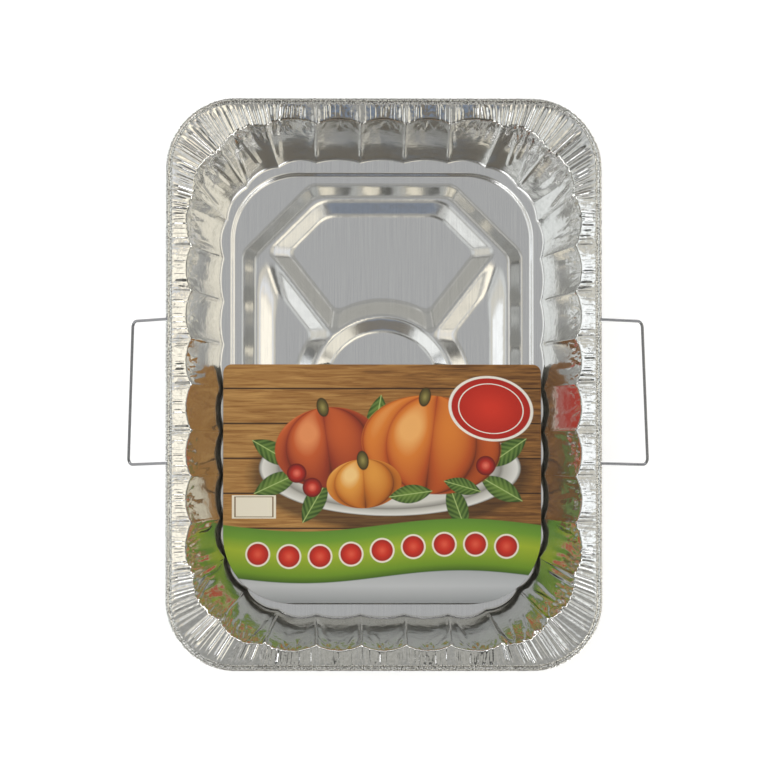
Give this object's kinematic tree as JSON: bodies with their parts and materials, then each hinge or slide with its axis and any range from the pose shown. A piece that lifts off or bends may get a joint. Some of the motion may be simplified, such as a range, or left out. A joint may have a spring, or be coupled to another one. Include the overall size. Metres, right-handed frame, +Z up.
{
  "type": "foil roasting pan",
  "caption": "Deep rectangular aluminium foil roasting pan with fluted walls, pleated flange, rolled rim, ribbed floor and swinging wire handles; a printed card lies inside.",
  "frame": {"origin": "middle of the pan's underside, on the plane it stands on", "axes": "+Z up, +Y along the pan towards the end that the card leaves bare, +X across the pan to the right"},
  "size_m": [0.4004, 0.438, 0.0722],
  "materials": {
    "pressed_foil": "bright rolled foil, pressed",
    "steel_wire": "drawn bright wire",
    "printed_card": "coated card, printed"
  },
  "bodies": {
    "pan": {"foil_pan": "pressed_foil", "label_card": "printed_card"},
    "handle_left": {"wire_handle_left": "steel_wire"},
    "handle_right": {"wire_handle_right": "steel_wire"}
  },
  "joints": [
    {"name": "left_handle_swing", "type": "hinge", "parent": "pan", "child": "handle_left", "pos_m": [-0.16505, -0.0054, 0.07055], "axis": [0, 1, 0], "range_deg": [-39, 51]},
    {"name": "right_handle_swing", "type": "hinge", "parent": "pan", "child": "handle_right", "pos_m": [0.16505, -0.0054, 0.07055], "axis": [0, -1, 0], "range_deg": [-52, 38]}
  ]
}
